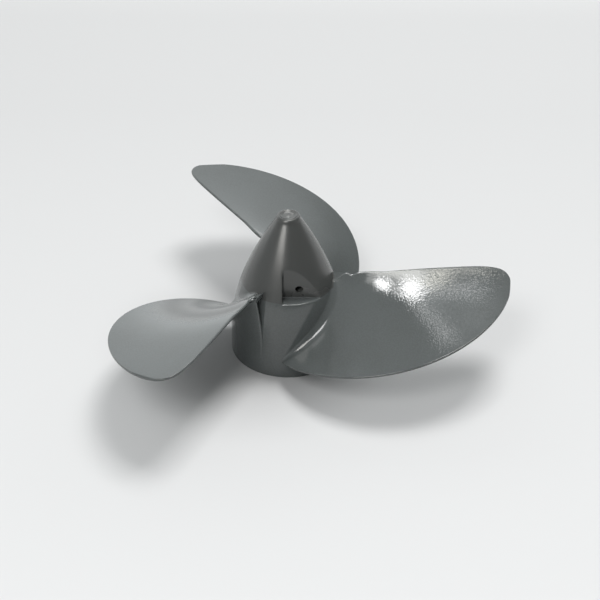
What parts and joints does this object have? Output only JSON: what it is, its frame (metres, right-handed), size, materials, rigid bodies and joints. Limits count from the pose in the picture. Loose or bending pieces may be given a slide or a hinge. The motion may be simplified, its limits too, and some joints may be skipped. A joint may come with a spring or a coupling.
{
  "type": "outboard motor propeller",
  "caption": "Small right-hand screw propeller moulded in one piece, with a bullet-shaped hub, swept blades, a blind shaft bore, a drive-pin slot and a seat for the split pin.",
  "frame": {"origin": "on the shaft axis at the propeller's centre of mass, 28.4 mm above the hub's open end", "axes": "+Z along the shaft towards the nose cone, -Y square to the flat seat of the split pin"},
  "size_m": [0.1635, 0.1641, 0.0651],
  "materials": {
    "grey_plastic": "semi-gloss moulded, slight orange peel"
  },
  "bodies": {
    "root": {"propeller": "grey_plastic"}
  },
  "joints": []
}
